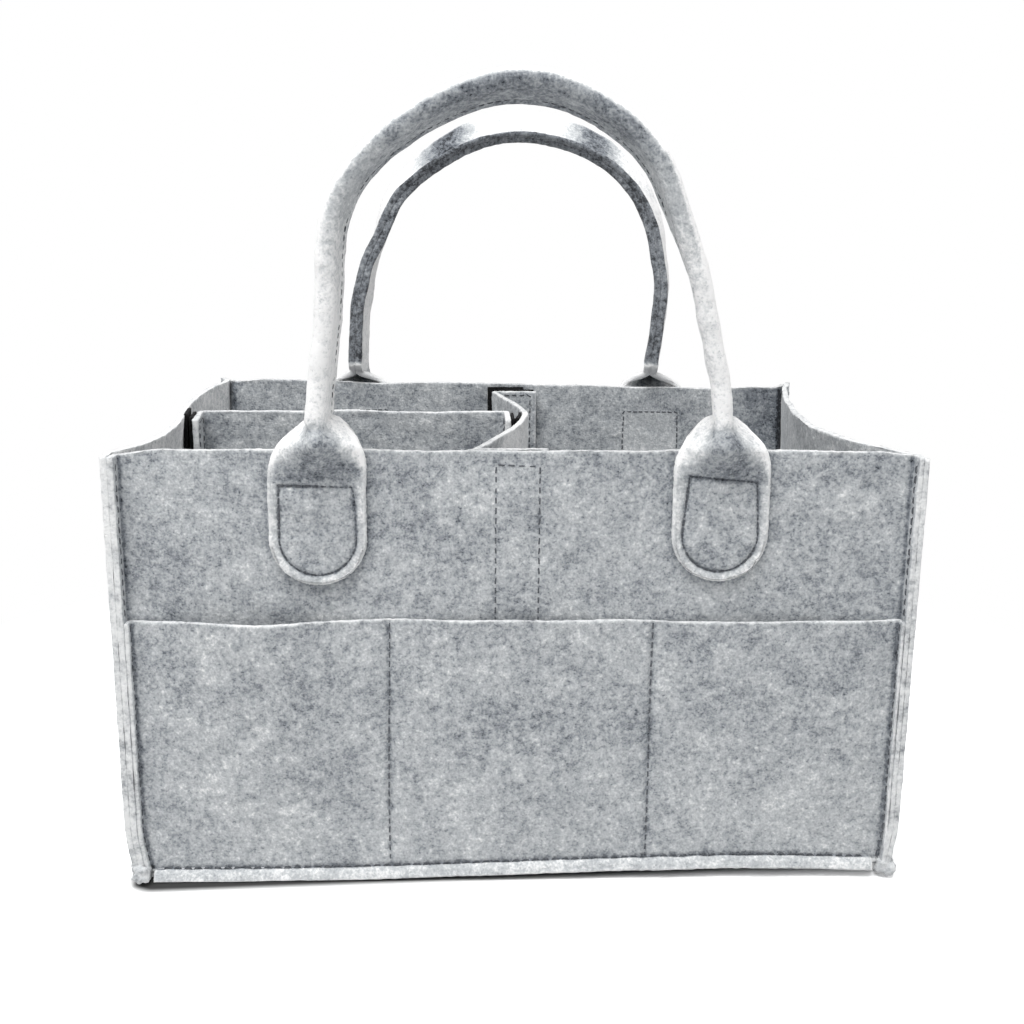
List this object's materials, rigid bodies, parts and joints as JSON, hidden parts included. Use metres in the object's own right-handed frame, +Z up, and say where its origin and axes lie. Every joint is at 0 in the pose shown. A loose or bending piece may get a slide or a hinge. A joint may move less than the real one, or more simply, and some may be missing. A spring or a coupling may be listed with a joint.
{
  "type": "felt diaper caddy bag",
  "caption": "Grey felt caddy bag with two folded carry handles, outside pockets and loose dividers held by hook-and-loop flaps.",
  "frame": {"origin": "on the floor under the middle of the bag", "axes": "+Z up, -Y towards the front with the pockets shown, +X to the right seen from the front"},
  "size_m": [0.3388, 0.2586, 0.3339],
  "materials": {
    "felt": "heathered light grey felt, matte, paler cut edges",
    "hook_tape": "black hook-and-loop tape, matte",
    "thread": "dark grey sewing thread"
  },
  "bodies": {
    "bag": {"front_panel": "felt", "back_panel": "felt", "left_side_panel": "felt", "right_side_panel": "felt", "bottom_panel": "felt", "front_pocket": "felt", "back_pocket": "felt", "front_left_tab": "felt", "front_right_tab": "felt", "back_left_tab": "felt", "back_right_tab": "felt", "front_wall_tape": "hook_tape", "back_wall_tape": "hook_tape", "left_wall_tape": "hook_tape", "front_tape_seam": "thread", "front_bottom_seam": "thread", "back_tape_seam": "thread", "back_bottom_seam": "thread", "front_left_tab_seam": "thread", "front_left_corner_seam": "thread", "front_left_pocket_seam": "thread", "front_right_tab_seam": "thread", "front_right_corner_seam": "thread", "front_right_pocket_seam": "thread", "back_left_tab_seam": "thread", "back_left_corner_seam": "thread", "back_left_pocket_seam": "thread", "back_right_tab_seam": "thread", "back_right_corner_seam": "thread", "back_right_pocket_seam": "thread", "left_bottom_seam": "thread", "right_bottom_seam": "thread"},
    "front_handle": {"front_handle_strap": "felt", "front_handle_seam": "thread"},
    "back_handle": {"back_handle_strap": "felt", "back_handle_seam": "thread"},
    "cross_divider": {"cross_divider": "felt", "cross_divider_tape": "hook_tape"},
    "cross_front_flap": {"cross_front_flap": "felt", "cross_front_flap_tape": "hook_tape"},
    "cross_back_flap": {"cross_back_flap": "felt", "cross_back_flap_tape": "hook_tape"},
    "long_divider": {"long_divider": "felt"},
    "long_left_flap": {"long_left_flap": "felt", "long_left_flap_tape": "hook_tape"},
    "long_right_flap": {"long_right_flap": "felt", "long_right_flap_tape": "hook_tape"}
  },
  "joints": [
    {"name": "front_handle_swing", "type": "hinge", "parent": "bag", "child": "front_handle", "pos_m": [0, -0.11, 0.2071], "axis": [1, 0, 0], "range_deg": [-60, 75]},
    {"name": "back_handle_swing", "type": "hinge", "parent": "bag", "child": "back_handle", "pos_m": [0, 0.11, 0.2071], "axis": [-1, 0, 0], "range_deg": [-60, 75]},
    {"name": "cross_divider_lift", "type": "slide", "parent": "bag", "child": "cross_divider", "axis": [0, 0, 1], "range_m": [0, 0.182]},
    {"name": "long_divider_lift", "type": "slide", "parent": "bag", "child": "long_divider", "axis": [0, 0, 1], "range_m": [0, 0.182]},
    {"name": "cross_front_flap_peel", "type": "hinge", "parent": "cross_divider", "child": "cross_front_flap", "pos_m": [-0.024, -0.1017, 0.092], "axis": [0, 0, 1], "range_deg": [0, 34]},
    {"name": "cross_back_flap_peel", "type": "hinge", "parent": "cross_divider", "child": "cross_back_flap", "pos_m": [-0.005, 0.1017, 0.092], "axis": [0, 0, -1], "range_deg": [0, 42]},
    {"name": "long_left_flap_peel", "type": "hinge", "parent": "long_divider", "child": "long_left_flap", "pos_m": [-0.15387, 0.02, 0.092], "axis": [0, 0, 1], "range_deg": [0, 50]},
    {"name": "long_right_flap_peel", "type": "hinge", "parent": "long_divider", "child": "long_right_flap", "pos_m": [-0.00186, 0.02, 0.092], "axis": [0, 0, -1], "range_deg": [0, 50]}
  ]
}
